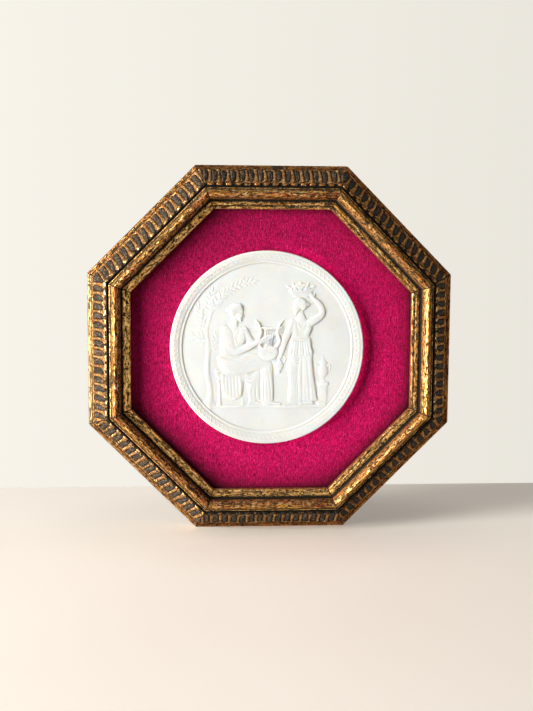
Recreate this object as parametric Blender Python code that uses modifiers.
"""Round bisque relief plaque on crimson cloth, in an octagonal gilt frame.

Metres, +Z up. The front faces -Y and the wall side faces +Y. The origin is the
middle notch of the sawtooth hanger on the back of the top rail.
"""

import math

import bmesh
import bpy
import numpy as np
from mathutils import Matrix, Vector

# ---------------------------------------------------------------- sizes
MM = 0.001
GAP = 0.0003                      # clearance between pieces that touch

SIDES = 8
HALF_TURN = math.pi / SIDES       # 22.5 degrees: half the angle one side takes
ACROSS_FLATS = 0.2660             # outer size of the frame
SIGHT_ACROSS = 0.2012             # opening that shows the cloth
REBATE_ACROSS = 0.2150            # recess behind the sight edge
R_OUT = ACROSS_FLATS / 2
R_SIGHT = SIGHT_ACROSS / 2
R_REBATE = REBATE_ACROSS / 2

# heights of the moulding's members above the frame's back plane
H_LIP = 0.0056                    # outer lip
H_BAND_LOW, H_BAND_HIGH = 0.0050, 0.0222
H_GROOVE_OUT = 0.0222
H_RIDGE_OUT, H_RIDGE_TOP, H_RIDGE_IN = 0.0250, 0.0286, 0.0236
H_GROOVE_IN = 0.0222
H_FILLET = 0.0229
H_SIGHT = 0.0203
H_REBATE = 0.0152                 # depth of the rebate from the back

# distances of the members' edges from the frame's centre line
R_LIP_IN = 0.1300
R_BAND_LOW, R_BAND_HIGH = 0.1297, 0.1180
R_RIDGE_OUT, R_RIDGE_IN = 0.1160, 0.1078
R_FILLET_OUT, R_QUIRK = 0.1064, 0.1031

LOBES_PER_RAIL = 16               # leaf tongues along one rail, cut at the mitres
LOBE_PITCH = 0.00648
LOBE_WIDTH = 0.0048
LOBE_RISE = 0.0013                # how far a tongue swells out of the band
BEAD_LENGTH, BEAD_WIDTH, BEAD_RISE = 0.0036, 0.0019, 0.0009
BOSS_SUNK = 0.00013               # their mid plane lies this far inside the band

BOARD_THICK = 0.0030
CLOTH_THICK = 0.0008

PLAQUE_RADIUS = 0.0698
PLAQUE_SHIFT = (-0.0036, 0.0023)  # it is mounted a little left of centre and high
RIM_INNER = 0.0612
RIM_HEIGHT = 0.0046               # rim's face above the plaque's back
GROUND_HEIGHT = 0.0034            # flat ground above the plaque's back

# the carved scene, in mm from the plaque's centre
LEDGE = -42.0                     # ground line
SEAT_TOP = -18.0
PLAYER_HEAD = (-21.7, 25.4, 12.6)         # x, y, height of the head
GIRL_HEAD = (23.2, 29.9, 11.6)
BASKET = (24.0, 38.9)
LEAF_LENGTH, LEAF_SPACING = 5.6, 3.4
LYRE_STRINGS = 5
CARVING_PITCH = 0.00105           # grid that the carving is cut on
CARVING_KEPT = 0.20               # share of its facets that the solid keeps

HANGER_DROP = 0.1205              # hanger notch above the frame's centre
HANGER_LENGTH, HANGER_HEIGHT, HANGER_THICK = 0.0440, 0.0082, 0.0008
HANGER_FOOT, HANGER_STANDOFF = 0.0068, 0.0016
HANGER_TEETH, TOOTH_PITCH, TOOTH_DEPTH = 9, 0.0027, 0.0015
NAIL_R, NAIL_HEAD_R, NAIL_LENGTH = 0.0007, 0.0018, 0.0090
NAIL_CLEAR = 0.0003

# ---------------------------------------------------------------- places
BACK_Y = -(GAP + HANGER_STANDOFF + HANGER_THICK / 2)      # frame's back plane
CENTRE = Vector((0.0, BACK_Y, -HANGER_DROP))              # centre of the back plane
CLOTH_FRONT = H_REBATE - GAP
CLOTH_BACK = CLOTH_FRONT - CLOTH_THICK
BOARD_FRONT = CLOTH_BACK - GAP
BOARD_BACK = BOARD_FRONT - BOARD_THICK
PLAQUE_BACK = CLOTH_FRONT + GAP

NAMES = ("frame_rail_top", "frame_rail_upper_right", "frame_rail_right",
         "frame_rail_lower_right", "frame_rail_bottom", "frame_rail_lower_left",
         "frame_rail_left", "frame_rail_upper_left")

# ---------------------------------------------------------------- scene
for old in list(bpy.data.objects):
    bpy.data.objects.remove(old, do_unlink=True)

parts = bpy.data.collections.new("Octagonal_relief_plaque")
cutters = bpy.data.collections.new("Cutters")
bpy.context.scene.collection.children.link(parts)
bpy.context.scene.collection.children.link(cutters)


def material(name, colour, roughness, metallic=0.0):
    mat = bpy.data.materials.new(name)
    mat.use_nodes = True
    shader = mat.node_tree.nodes["Principled BSDF"]
    shader.inputs["Base Color"].default_value = (*colour, 1.0)
    shader.inputs["Roughness"].default_value = roughness
    shader.inputs["Metallic"].default_value = metallic
    mat.diffuse_color = (*colour, 1.0)
    return mat


GILT = material("aged_gilt", (0.46, 0.27, 0.08), 0.42, 0.85)
BISQUE = material("bisque_porcelain", (0.86, 0.84, 0.79), 0.72)
CRIMSON = material("crimson_velvet", (0.48, 0.005, 0.06), 0.9)
HARDBOARD = material("hardboard", (0.22, 0.13, 0.07), 0.85)
STEEL = material("zinc_steel", (0.55, 0.55, 0.53), 0.4, 1.0)


def add(name, mesh, mat=None, where=parts):
    obj = bpy.data.objects.new(name, mesh)
    where.objects.link(obj)
    if mat:
        mesh.materials.clear()
        mesh.materials.append(mat)
    if where is cutters:
        obj.hide_render = True
        obj.display_type = "WIRE"
    return obj


def evaluated_mesh(obj, weld=1e-6):
    """The object's final mesh, in world space, with loose caps welded."""
    graph = bpy.context.evaluated_depsgraph_get()
    mesh = bpy.data.meshes.new_from_object(obj.evaluated_get(graph))
    mesh.transform(obj.matrix_world)
    bm = bmesh.new()
    bm.from_mesh(mesh)
    bmesh.ops.remove_doubles(bm, verts=bm.verts, dist=weld)
    bmesh.ops.recalc_face_normals(bm, faces=bm.faces)
    bm.to_mesh(mesh)
    bm.free()
    return mesh


def boolean(obj, other, operation):
    mod = obj.modifiers.new(operation.lower(), "BOOLEAN")
    mod.operation = operation
    mod.object = other
    mod.solver = "EXACT"
    return mod


def arc(centre, radii, start, end, count):
    """Points on an elliptical arc in the section plane, angles in degrees."""
    angles = np.radians(np.linspace(start, end, count))
    return [(centre[0] + radii[0] * math.cos(a), centre[1] + radii[1] * math.sin(a))
            for a in angles]


def outline_prism(points, half_length, name):
    """A flat outline drawn as a 2D curve and extruded to both sides, as a mesh."""
    curve = bpy.data.curves.new(name, "CURVE")
    curve.dimensions = "2D"
    curve.fill_mode = "BOTH"
    curve.extrude = half_length
    spline = curve.splines.new("POLY")
    spline.points.add(len(points) - 1)
    for point, (x, y) in zip(spline.points, points):
        point.co = (x, y, 0.0, 1.0)
    spline.use_cyclic_u = True
    helper = bpy.data.objects.new(name, curve)
    bpy.context.scene.collection.objects.link(helper)
    bpy.context.view_layer.update()
    mesh = evaluated_mesh(helper)
    bpy.data.objects.remove(helper, do_unlink=True)
    bpy.data.curves.remove(curve)
    return mesh


# ---------------------------------------------------------------- moulding
def moulding_section():
    """Closed section of the rail as (distance from centre, height from back)."""
    ridge_mid = (R_RIDGE_OUT + R_RIDGE_IN) / 2
    ridge_half = (R_RIDGE_OUT - R_RIDGE_IN) / 2
    section = [(R_OUT, 0.0), (R_OUT, H_LIP - 0.0010)]
    section += arc((R_OUT - 0.0011, H_LIP - 0.0010), (0.0011, 0.0010), 30, 150, 4)
    section += [(R_LIP_IN, H_LIP - 0.0006), (R_BAND_LOW, H_BAND_LOW)]
    section += [(R_BAND_HIGH, H_BAND_HIGH), (R_BAND_HIGH - 0.0004, H_GROOVE_OUT),
                (R_RIDGE_OUT + 0.0003, H_GROOVE_OUT)]
    outer = arc((ridge_mid, H_RIDGE_OUT), (ridge_half, H_RIDGE_TOP - H_RIDGE_OUT),
                0, 90, 5)
    inner = arc((ridge_mid, H_RIDGE_IN), (ridge_half, H_RIDGE_TOP - H_RIDGE_IN),
                90, 180, 5)
    section += outer + inner[1:]
    section += [(R_RIDGE_IN - 0.0003, H_GROOVE_IN), (R_FILLET_OUT + 0.0002, H_GROOVE_IN)]
    section += arc(((R_FILLET_OUT + R_QUIRK) / 2, H_FILLET - 0.0010),
                   ((R_FILLET_OUT - R_QUIRK) / 2, 0.0010), 20, 150, 4)
    section += [(R_QUIRK, H_SIGHT - 0.0004)]
    section += arc(((R_QUIRK + R_SIGHT) / 2, H_SIGHT - 0.0009),
                   ((R_QUIRK - R_SIGHT) / 2, 0.0009), 140, 180, 2)
    section += [(R_SIGHT, H_REBATE), (R_REBATE, H_REBATE), (R_REBATE, 0.0)]
    return section


def swell(length, width, rise, segments, rings):
    """A low oval boss: a sphere stretched to half-sizes length, width and rise."""
    bm = bmesh.new()
    bmesh.ops.create_uvsphere(bm, u_segments=segments, v_segments=rings, radius=1.0)
    bmesh.ops.rotate(bm, verts=bm.verts, cent=(0, 0, 0),
                     matrix=Matrix.Rotation(math.pi / 2, 3, "X"))
    bmesh.ops.scale(bm, verts=bm.verts, vec=(width, length, rise))
    return bm


def band_ornament():
    """Every tongue and bead of one rail, laid on the sloping band.

    Local axes as the rail's: X along it, Z away from the centre, -Y forward.
    """
    low = Vector((0.0, -H_BAND_LOW, R_BAND_LOW))
    high = Vector((0.0, -H_BAND_HIGH, R_BAND_HIGH))
    along = (high - low).normalized()
    outward = along.cross(Vector((1, 0, 0))).normalized()
    if outward.y > 0:
        outward.negate()
    slope = (high - low).length
    everything = bmesh.new()

    def place(source, x, up_slope, turn=0.0):
        centre = low + along * up_slope - outward * BOSS_SUNK + Vector((x, 0, 0))
        basis = Matrix((Vector((1, 0, 0)), along, outward)).transposed().to_4x4()
        matrix = Matrix.Translation(centre) @ basis @ Matrix.Rotation(turn, 4, "Z")
        mesh = bpy.data.meshes.new("boss")
        source.to_mesh(mesh)
        mesh.transform(matrix)
        everything.from_mesh(mesh)
        bpy.data.meshes.remove(mesh)

    tongue = swell(slope * 0.40, LOBE_WIDTH / 2, LOBE_RISE, 4, 4)
    bead = swell(BEAD_WIDTH / 2, BEAD_LENGTH / 2, BEAD_RISE, 4, 2)
    for i in range(LOBES_PER_RAIL):
        x = (i - (LOBES_PER_RAIL - 1) / 2) * LOBE_PITCH
        place(tongue, x, slope * 0.45)
        if i:
            place(bead, x - LOBE_PITCH / 2, slope * 0.93)
    tongue.free()
    bead.free()
    mesh = bpy.data.meshes.new("band_ornament")
    bmesh.ops.recalc_face_normals(everything, faces=everything.faces)
    everything.to_mesh(mesh)
    everything.free()
    return mesh


def rail_mesh():
    """One rail: the moulding, its ornament, and both mitres."""
    section = [(r, h) for r, h in moulding_section()]
    prism = outline_prism(section, R_OUT * math.tan(HALF_TURN) + 0.004, "moulding")
    # the curve's plane is (r, h) and its length is Z: turn to X along, Z = r, -Y = h
    prism.transform(Matrix(((0, 0, 1, 0), (0, -1, 0, 0), (1, 0, 0, 0), (0, 0, 0, 1))))
    prism.flip_normals()
    body = add("moulding_length", prism, where=cutters)
    bosses = add("moulding_bosses", band_ornament(), where=cutters)
    boolean(body, bosses, "UNION")
    # one eighth of the octagon, less half of the mitre gap on either side
    far, near = R_OUT + 0.02, R_SIGHT - 0.02
    wide = math.tan(HALF_TURN)
    slack = GAP / 2 / math.cos(HALF_TURN)
    wedge = outline_prism([(-near * wide + slack, near), (near * wide - slack, near),
                           (far * wide - slack, far), (-far * wide + slack, far)],
                          0.05, "mitre_wedge")
    wedge.transform(Matrix.Rotation(math.pi / 2, 4, "X"))
    bm = bmesh.new()
    bm.from_mesh(wedge)
    bmesh.ops.recalc_face_normals(bm, faces=bm.faces)
    bm.to_mesh(wedge)
    bm.free()
    eighth = add("mitre_wedge", wedge, where=cutters)
    boolean(body, eighth, "INTERSECT")
    bpy.context.view_layer.update()
    mesh = evaluated_mesh(body)
    for helper in (body, bosses, eighth):
        bpy.data.objects.remove(helper, do_unlink=True)
    bm = bmesh.new()
    bm.from_mesh(mesh)
    bpy.data.meshes.remove(mesh)
    bmesh.ops.triangulate(bm, faces=bm.faces)
    bmesh.ops.recalc_face_normals(bm, faces=bm.faces)
    mesh = bpy.data.meshes.new("frame_rail")
    bm.to_mesh(mesh)
    bm.free()
    mesh.shade_smooth()
    mesh.set_sharp_from_angle(angle=math.radians(32))
    return mesh


rail = rail_mesh()
rails = []
for number, name in enumerate(NAMES):
    obj = add(name, rail, GILT)
    obj.matrix_world = (Matrix.Translation(CENTRE)
                        @ Matrix.Rotation(number * 2 * HALF_TURN, 4, "Y"))
    rails.append(obj)


# ---------------------------------------------------------------- board and cloth
def octagon_plate(name, apothem, back, front, mat):
    bm = bmesh.new()
    bmesh.ops.create_cone(bm, cap_ends=True, segments=SIDES,
                          radius1=apothem / math.cos(HALF_TURN),
                          radius2=apothem / math.cos(HALF_TURN), depth=front - back)
    bmesh.ops.rotate(bm, verts=bm.verts, cent=(0, 0, 0),
                     matrix=Matrix.Rotation(HALF_TURN, 3, "Z"))
    mesh = bpy.data.meshes.new(name)
    bm.to_mesh(mesh)
    bm.free()
    obj = add(name, mesh, mat)
    obj.matrix_world = (Matrix.Translation(CENTRE + Vector((0, -(front + back) / 2, 0)))
                        @ Matrix.Rotation(math.pi / 2, 4, "X"))
    return obj


octagon_plate("backing_board", R_REBATE - 0.0005, BOARD_BACK, BOARD_FRONT, HARDBOARD)
octagon_plate("fabric_cover", R_REBATE - 0.0005, CLOTH_BACK, CLOTH_FRONT, CRIMSON)


# ---------------------------------------------------------------- plaque
class Carving:
    """Heights over the plaque's ground, in mm, with x to the right and y up."""

    def __init__(self, x, y):
        self.x, self.y = x, y
        self.z = np.full(np.shape(x), -1.0)

    def lay(self, height, blend=0.45):
        """Smooth maximum of what is there and a new form."""
        share = np.clip(0.5 + 0.5 * (height - self.z) / blend, 0, 1)
        self.z = self.z + (height - self.z) * share + np.where(
            height > -5, blend * share * (1 - share), 0)

    def limb(self, points, radii, base, flat=0.6):
        """A rounded rod through (x, y) points, with one radius for each point."""
        base = np.broadcast_to(np.asarray(base, float), (len(points),))
        best = np.full(np.shape(self.x), -9.0)
        for i in range(len(points) - 1):
            (ax, ay), (bx, by) = points[i], points[i + 1]
            dx, dy = bx - ax, by - ay
            t = np.clip(((self.x - ax) * dx + (self.y - ay) * dy) / (dx * dx + dy * dy), 0, 1)
            gap = (self.x - ax - t * dx) ** 2 + (self.y - ay - t * dy) ** 2
            r = radii[i] + t * (radii[i + 1] - radii[i])
            dome = base[i] + t * (base[i + 1] - base[i]) + flat * np.sqrt(
                np.maximum(r * r - gap, 0))
            best = np.where(gap < r * r, np.maximum(best, dome), best)
        self.lay(best)

    def oval(self, x, y, rx, ry, base, rise):
        q = 1 - ((self.x - x) / rx) ** 2 - ((self.y - y) / ry) ** 2
        self.lay(np.where(q > 0, base + rise * np.sqrt(np.maximum(q, 0)), -9.0))

    def slab(self, corners, base, rise, edge):
        """A cushion with this outline, rising over the distance edge from its border."""
        near = np.full(np.shape(self.x), 1e9)
        odd = np.zeros(np.shape(self.x), bool)
        for (ax, ay), (bx, by) in zip(corners, corners[1:] + corners[:1]):
            dx, dy = bx - ax, by - ay
            t = np.clip(((self.x - ax) * dx + (self.y - ay) * dy) / (dx * dx + dy * dy), 0, 1)
            near = np.minimum(near, (self.x - ax - t * dx) ** 2 + (self.y - ay - t * dy) ** 2)
            if dy:
                crosses = (ay > self.y) != (by > self.y)
                odd ^= crosses & (self.x < ax + (self.y - ay) * dx / dy)
        q = np.clip(np.sqrt(near) / edge, 0, 1)
        self.lay(np.where(odd, base + rise * np.sqrt(1 - (1 - q) ** 2), -9.0))

    def pleats(self, top, foot, depth, count):
        """Hanging folds between two level lines, each given as (left, right, y)."""
        v = (top[2] - self.y) / (top[2] - foot[2])
        left = top[0] + v * (foot[0] - top[0])
        right = top[1] + v * (foot[1] - top[1])
        u = (self.x - left) / (right - left)
        inside = (u > 0) & (u < 1) & (v > 0) & (v < 1) & (self.z > 0)
        wave = depth * np.clip(v, 0, 1) ** 0.6 * np.abs(np.sin(math.pi * count * np.clip(u, 0, 1)))
        self.z = np.where(inside, self.z - depth * 0.5 + wave, self.z)


def head(c, x, y, size, way, base):
    """Profile head on thirds: crown to chin is size, way is +1 facing right."""
    c.oval(x - way * 0.50 * size, y + 0.10 * size, 0.17 * size, 0.16 * size, base, 1.8)
    outline = [(-0.30, -0.20), (-0.47, 0.10), (-0.25, 0.46), (0.12, 0.50), (0.34, 0.26),
               (0.35, 0.04), (0.43, -0.14), (0.35, -0.22), (0.34, -0.40), (0.20, -0.48),
               (-0.02, -0.34)]
    c.slab([(x + way * u * size, y + v * size) for u, v in outline], base, 3.2, 0.30 * size)


def tree(c):
    trunk = [(-41.5, LEDGE), (-41.0, -30), (-43.2, -16), (-42.0, 0), (-43.5, 12), (-40.5, 24)]
    c.limb(trunk, (2.9, 2.1, 1.9, 1.6, 1.4, 1.0), 0.5)
    twigs = (((-40.5, 24), (-29, 40), (-11, 47.5)), ((-43.5, 12), (-48, 21), (-49, 29)),
             ((-40.5, 24), (-41.5, 32), (-40, 39.5)), ((-42.3, 4), (-48, 8), (-52.5, 9)),
             ((-42.2, -4), (-38.5, 3), (-36, 9)))
    for twig in twigs:
        c.limb(twig, (0.9, 0.8, 0.5), 0.6)
        for (ax, ay), (bx, by) in zip(twig, twig[1:]):
            length = math.hypot(bx - ax, by - ay)
            for i in range(int(length / LEAF_SPACING)):
                t = (i + 0.7) * LEAF_SPACING / length
                aim = math.atan2(by - ay, bx - ax) + (0.75 if i % 2 else -0.75)
                x, y = ax + t * (bx - ax), ay + t * (by - ay)
                tip = (x + LEAF_LENGTH * math.cos(aim), y + LEAF_LENGTH * math.sin(aim))
                middle = ((x + tip[0]) / 2, (y + tip[1]) / 2)
                c.limb(((x, y), middle, tip), (0.4, 1.1, 0.3), 0.4)


def stool(c):
    for x, r in ((-17.5, 1.3), (-34.2, 1.6)):
        c.limb(((x, LEDGE + 1), (x, LEDGE + 8), (x, SEAT_TOP - 4)), (r, r * 0.7, r), 0.8)
        c.oval(x, SEAT_TOP - 5, r + 0.5, 1.4, 1.0, 1.2)
    c.slab([(-37, SEAT_TOP - 2.6), (-13, SEAT_TOP - 2.6), (-13, SEAT_TOP), (-37, SEAT_TOP)],
           1.2, 1.5, 0.7)


def lyre(c):
    for side in (-1, 1):
        c.limb([(1.2 + side * u, v) for u, v in ((4.8, -1), (7.8, 4.8), (6.0, 11), (8.4, 18.5))],
               (1.4, 1.2, 1.0, 0.7), 3.4)
    c.limb(((-7.6, 14.5), (10.6, 14.5)), (0.8, 0.8), 3.6)
    c.oval(1.1, -4.0, 7.3, 5.2, 3.0, 2.2)
    for i in range(LYRE_STRINGS):
        c.limb(((0.1 + 0.62 * i, -3.4), (-1.6 + 1.55 * i, 14.3)), (0.45, 0.45), 3.6)


def player(c):
    """Seated woman in a mantle, her knee to the right."""
    c.slab([(-33.8, -12), (-34, 5), (-33.4, 13), (-25, 16.4), (-16.6, 14.6), (-14.8, 9),
            (-18.2, -10)], 1.0, 3.3, 6.5)
    c.limb(((-8, -11), (3.5, -10.5), (-10, -36)), (5.2, 4.4, 3.4), 0.8)
    c.slab([(-20, -16), (3.5, -20), (3.8, -37), (-12.6, -37.5), (-14.5, -28)], 0.5, 1.7, 2.4)
    c.pleats((-14, -3, -18), (-13, -3, -38), 0.9, 4)
    c.slab([(-33.5, -14), (-17, -18), (-18, -35.5), (-25, -37.5), (-31.4, -35)], 1.0, 1.8, 2.2)
    c.pleats((-33, -18, -19), (-31.5, -18, -37.5), 0.9, 6)
    c.limb(((-26, -12.5), (-14, -11), (-3.4, -11.2), (0.2, -20), (0.2, -37.4)),
           (8.3, 7.2, 5.6, 4.4, 4.8), (1.4, 1.8, 1.9, 1.5, 1.2), 0.5)
    c.pleats((-4, 4.4, -16), (-4.4, 5, -38), 0.9, 4)
    c.limb(((-13, -40), (-3, -40.8)), (1.9, 1.1), 0.8)
    c.limb(((-1.5, -39.8), (9.4, -41)), (2.3, 1.0), 1.6)
    c.limb(((-34.4, -7.4), (-27, -10.6), (-18.6, -9.2), (-12.5, -5.4)), (1.7, 2.3, 2.1, 1.0),
           (2.2, 3.9, 3.5, 2.6))
    for x in (-27.0, -19.6):
        c.oval(x, 6.5, 4.5, 4.3, 3.0, 1.5)
    c.limb(((-25, 12.5), (-22.8, 20)), (4.0, 2.7), 1.9)
    c.limb(((-16.6, 12.2), (-10.2, 3.4), (4.6, 9.2)), (3.2, 2.4, 1.5), 1.9)
    lyre(c)
    c.limb(((-29.8, 12), (-26.4, 0.5), (-21.6, -2.4), (-7, 3.4), (-2, 5.4)),
           (4.0, 3.2, 2.8, 1.7, 1.6), (2.7, 3.4, 3.7, 4.5, 4.4))
    head(c, *PLAYER_HEAD, 1, 1.4)


def jug(c):
    c.oval(8.4, -12.4, 3.7, 4.6, 1.1, 2.2)
    c.limb(((8.4, -8.5), (8.4, -18.2)), (1.4, 1.6), 1.2)
    c.limb(((9.8, -6.4), (12.9, -6.6), (11.6, -11.0)), (0.6, 0.6, 0.6), 1.5)


def girl(c):
    """Standing girl in a long belted dress, facing left, a basket on her head."""
    c.limb(((25, -40.2), (16.5, -40.9)), (1.8, 0.9), 1.0)
    c.limb(((33.6, -40.2), (24.6, -41.0)), (1.9, 0.9), 1.6)
    c.slab([(18.4, 5), (30, 5), (33, -6), (36.6, -38.5), (15.4, -38.5), (16.2, -16)],
           0.9, 2.9, 6.0)
    c.limb(((20.6, -4), (19, -15.5), (21, -37)), (4.2, 4.4, 2.8), (1.9, 2.3, 1.2), 0.5)
    c.pleats((23.5, 32, -3), (22.5, 36.5, -39), 1.1, 5)
    c.pleats((16.2, 23.5, -20), (15.6, 22.5, -39), 0.9, 3)
    c.slab([(17.4, 18.6), (21.4, 21.4), (28, 21.6), (32.4, 19.6), (33, 14.5), (30, 4),
            (18.6, 4), (16.6, 14.6)], 1.2, 3.2, 5.0)
    for x in (21.2, 28.0):
        c.oval(x, 13.5, 3.8, 3.6, 3.1, 1.3)
    c.limb(((25, 19.6), (23.9, 26)), (3.4, 2.3), 1.9)
    c.slab([(18, 6.4), (30.6, 6.4), (33.4, -4.6), (24.6, -5.2), (15.8, -4.6)], 2.0, 2.7, 3.6)
    c.pleats((18.2, 30.4, 6), (15.8, 33.4, -5.4), 0.8, 6)
    c.limb(((18, 6.6), (24.4, 6), (30.8, 6.6)), (0.9, 0.9, 0.9), (2.8, 4.0, 2.8))
    jug(c)
    c.limb(((18.4, 17.6), (12.2, 2.6), (8.6, -9)), (2.9, 2.2, 1.5), (2.6, 2.5, 2.1))
    x, y = BASKET
    for i in range(5):
        a = (i - 2) / 2
        c.oval(x + 5.4 * a, y + 3.8 + 2.6 * math.cos(a * 1.4), 2.0, 2.0, 1.0, 1.9)
    c.slab([(x - 8.2, y + 2.6), (x + 8.2, y + 2.6), (x + 4.6, y - 2.8), (x - 4.6, y - 2.8)],
           1.3, 2.6, 3.0)
    c.limb(((31, 18.2), (38.8, 23.6), (39.2, 29), (33.2, 36.6)), (3.0, 2.3, 2.1, 1.5), 2.5)
    head(c, *GIRL_HEAD, -1, 1.6)


def urn(c):
    x = 41.0
    for low, high, half, rise in ((0, 2.4, 3.5, 1.4), (2.4, 15, 3.2, 1.2), (14.6, 17, 4.2, 1.5)):
        c.slab([(x - half, LEDGE + low), (x + half - 0.6, LEDGE + low),
                (x + half - 0.6, LEDGE + high), (x - half, LEDGE + high)], 0.4, rise, 0.7)
    foot = LEDGE + 17
    c.limb(((x, foot + 0.8), (x, foot + 3.2)), (2.1, 1.1), 0.6)
    c.oval(x, foot + 8.4, 3.9, 5.0, 0.5, 2.0)
    c.oval(x, foot + 14.6, 3.2, 2.6, 0.5, 1.6)
    c.limb(((x, foot + 16.6), (x, foot + 18.6)), (0.8, 0.7), 0.6)
    for side in (-1, 1):
        c.limb(((x + side * 2.9, foot + 11.4), (x + side * 4.9, foot + 11.6),
                (x + side * 3.6, foot + 7)), (0.6, 0.6, 0.6), 0.7)


def relief(x, y):
    """Height of the carving over the ground at x, y from the plaque's centre, in metres."""
    c = Carving(x / MM, y / MM)
    tree(c)
    c.slab([(-44.5, LEDGE - 1.7), (44.5, LEDGE - 1.7), (44.5, LEDGE), (-44.5, LEDGE)],
           0.3, 1.9, 1.0)
    urn(c)
    stool(c)
    player(c)
    girl(c)
    return c.z * MM


def plaque_disc():
    """The turned body, as a profile spun about its axis, front towards +Z."""
    edge, face = PLAQUE_RADIUS, RIM_HEIGHT
    profile = [(0.0, GROUND_HEIGHT), (RIM_INNER, GROUND_HEIGHT),
               (RIM_INNER + 0.0003, face - 0.0005), (RIM_INNER + 0.0009, face - 0.0002),
               (RIM_INNER + 0.0015, face - 0.0006), (edge - 0.0022, face - 0.0006),
               (edge - 0.0016, face - 0.0001), (edge - 0.0008, face),
               (edge - 0.0002, face - 0.0006), (edge, face - 0.0014),
               (edge - 0.0004, 0.0008), (edge - 0.0014, 0.0), (0.0, 0.0)]
    mesh = bpy.data.meshes.new("plaque_profile")
    mesh.from_pydata([(r, 0, z) for r, z in profile],
                     [(i, i + 1) for i in range(len(profile) - 1)], [])
    obj = bpy.data.objects.new("plaque_profile", mesh)
    bpy.context.scene.collection.objects.link(obj)
    spin = obj.modifiers.new("turn", "SCREW")
    spin.axis = "Z"
    spin.steps = spin.render_steps = 72
    spin.use_merge_vertices = True
    spin.merge_threshold = 1e-5
    bpy.context.view_layer.update()
    turned = evaluated_mesh(obj)
    bpy.data.objects.remove(obj, do_unlink=True)
    return turned


def relief_block():
    """A grid carved by relief(), closed below inside the disc's thickness."""
    half = RIM_INNER - 0.0002
    count = int(round(2 * half / CARVING_PITCH))
    bm = bmesh.new()
    bmesh.ops.create_grid(bm, x_segments=count, y_segments=count, size=half)
    outside = [f for f in bm.faces
               if max(v.co.xy.length for v in f.verts) > half]
    bmesh.ops.delete(bm, geom=outside, context="FACES")
    xy = np.array([v.co.xy for v in bm.verts])
    height = relief(xy[:, 0], xy[:, 1])
    for v, h in zip(bm.verts, height):
        v.co.z = GROUND_HEIGHT + max(float(h), -0.0006)
    for v in bm.verts:
        if v.is_boundary:
            v.co.z = GROUND_HEIGHT - 0.0006
    floor = bmesh.ops.extrude_face_region(bm, geom=bm.faces[:])
    for v in floor["geom"]:
        if isinstance(v, bmesh.types.BMVert):
            v.co.z = GROUND_HEIGHT - 0.0016
    bmesh.ops.recalc_face_normals(bm, faces=bm.faces)
    bmesh.ops.dissolve_limit(bm, angle_limit=math.radians(0.5), verts=bm.verts,
                             edges=bm.edges)
    bmesh.ops.triangulate(bm, faces=bm.faces)
    mesh = bpy.data.meshes.new("relief_block")
    bm.to_mesh(mesh)
    bm.free()
    return mesh


disc = add("plaque_disc", plaque_disc(), where=cutters)
block = add("plaque_carving", relief_block(), where=cutters)
fewer = block.modifiers.new("fewer_facets", "DECIMATE")
fewer.ratio = CARVING_KEPT
boolean(disc, block, "UNION")
bpy.context.view_layer.update()
carved = evaluated_mesh(disc)
carved.name = "plaque"
bpy.data.objects.remove(disc, do_unlink=True)
bpy.data.objects.remove(block, do_unlink=True)
carved.shade_smooth()
carved.set_sharp_from_angle(angle=math.radians(40))
plaque = add("plaque", carved, BISQUE)
plaque.matrix_world = (
    Matrix.Translation(CENTRE + Vector((PLAQUE_SHIFT[0], -PLAQUE_BACK, PLAQUE_SHIFT[1])))
    @ Matrix.Rotation(math.pi / 2, 4, "X"))


# ---------------------------------------------------------------- hanger
def hanger_mesh():
    """A strip that stands off the wood between two feet, with a toothed lower edge."""
    half, foot, t = HANGER_LENGTH / 2, HANGER_FOOT, HANGER_THICK
    step = HANGER_STANDOFF
    run = 0.0014
    y0 = BACK_Y + GAP
    inner = half - foot
    outline = [(-half, y0), (-inner, y0), (-inner + run, y0 + step),
               (inner - run, y0 + step), (inner, y0), (half, y0), (half, y0 + t),
               (inner + 0.0002, y0 + t), (inner - run + 0.0002, y0 + step + t),
               (-inner + run - 0.0002, y0 + step + t), (-inner - 0.0002, y0 + t),
               (-half, y0 + t)]
    return outline_prism(outline, HANGER_HEIGHT / 2, "hanger")


hanger = add("hanger", hanger_mesh(), STEEL)
hanger.data.transform(Matrix.Translation((0, 0, HANGER_HEIGHT / 2 - TOOTH_DEPTH)))

teeth = bmesh.new()
notch = outline_prism([(-TOOTH_PITCH * 0.44, -TOOTH_DEPTH * 1.3), (0.0, 0.0),
                       (TOOTH_PITCH * 0.44, -TOOTH_DEPTH * 1.3)], 0.003, "notch")
notch.transform(Matrix.Rotation(math.pi / 2, 4, "X"))
for i in range(HANGER_TEETH):
    copy = notch.copy()
    copy.transform(Matrix.Translation(((i - (HANGER_TEETH - 1) / 2) * TOOTH_PITCH, 0, 0)))
    teeth.from_mesh(copy)
    bpy.data.meshes.remove(copy)
bpy.data.meshes.remove(notch)
bmesh.ops.recalc_face_normals(teeth, faces=teeth.faces)
teeth_mesh = bpy.data.meshes.new("hanger_teeth")
teeth.to_mesh(teeth_mesh)
teeth.free()
boolean(hanger, add("hanger_teeth", teeth_mesh, where=cutters), "DIFFERENCE")

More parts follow.
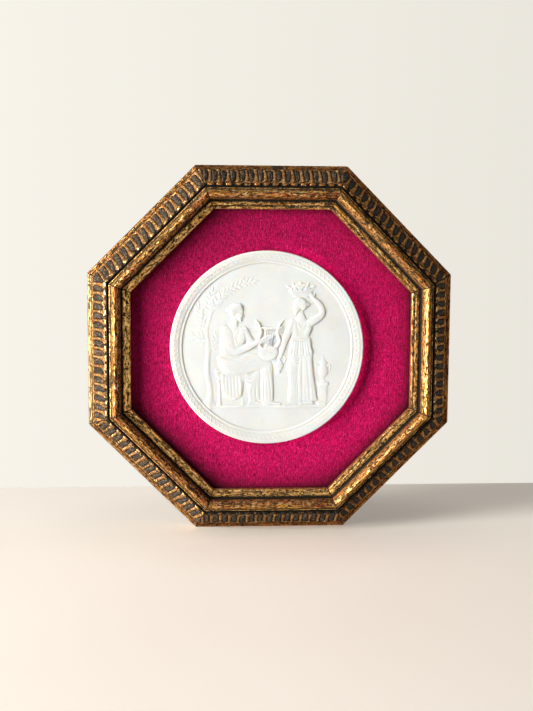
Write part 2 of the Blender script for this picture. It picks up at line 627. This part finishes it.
NAIL_X = HANGER_LENGTH / 2 - HANGER_FOOT / 2
NAIL_Z = HANGER_HEIGHT / 2 - TOOTH_DEPTH


def rod(name, radius, y_from, y_to, x, segments, where, mat=None):
    bm = bmesh.new()
    bmesh.ops.create_cone(bm, cap_ends=True, segments=segments, radius1=radius,
                          radius2=radius, depth=y_to - y_from)
    bmesh.ops.rotate(bm, verts=bm.verts, cent=(0, 0, 0),
                     matrix=Matrix.Rotation(math.pi / 2, 3, "X"))
    mesh = bpy.data.meshes.new(name)
    bm.to_mesh(mesh)
    bm.free()
    obj = add(name, mesh, mat, where)
    obj.location = (x, (y_from + y_to) / 2, NAIL_Z)
    return obj


def nail(name, x):
    """Round-headed nail, turned about its own axis; the head faces +Y."""
    top = BACK_Y + GAP + HANGER_THICK + GAP
    profile = [(0.0, 0.0009), (NAIL_HEAD_R * 0.55, 0.0007), (NAIL_HEAD_R * 0.9, 0.0003),
               (NAIL_HEAD_R, 0.0), (NAIL_R, 0.0), (NAIL_R, -NAIL_LENGTH + 0.0014),
               (0.0, -NAIL_LENGTH)]
    mesh = bpy.data.meshes.new(name)
    mesh.from_pydata([(r, 0, z) for r, z in profile],
                     [(i, i + 1) for i in range(len(profile) - 1)], [])
    obj = add(name, mesh, STEEL)
    spin = obj.modifiers.new("turn", "SCREW")
    spin.axis = "Z"
    spin.steps = spin.render_steps = 12
    spin.use_merge_vertices = True
    spin.merge_threshold = 1e-5
    spin.use_smooth_shade = True
    obj.matrix_world = (Matrix.Translation((x, top, NAIL_Z))
                        @ Matrix.Rotation(-math.pi / 2, 4, "X"))
    return obj


for side, label in ((-1, "left"), (1, "right")):
    x = side * NAIL_X
    nail("hanger_nail_" + label, x)
    hole = rod("plate_hole_" + label, NAIL_R + NAIL_CLEAR, BACK_Y - 0.0002, 0.004, x, 12,
               cutters)
    boolean(hanger, hole, "DIFFERENCE")
    bore = rod("rail_bore_" + label, NAIL_R + NAIL_CLEAR,
               BACK_Y - NAIL_LENGTH - 0.001, BACK_Y + 0.002, x, 12, cutters)
    boolean(rails[0], bore, "DIFFERENCE")
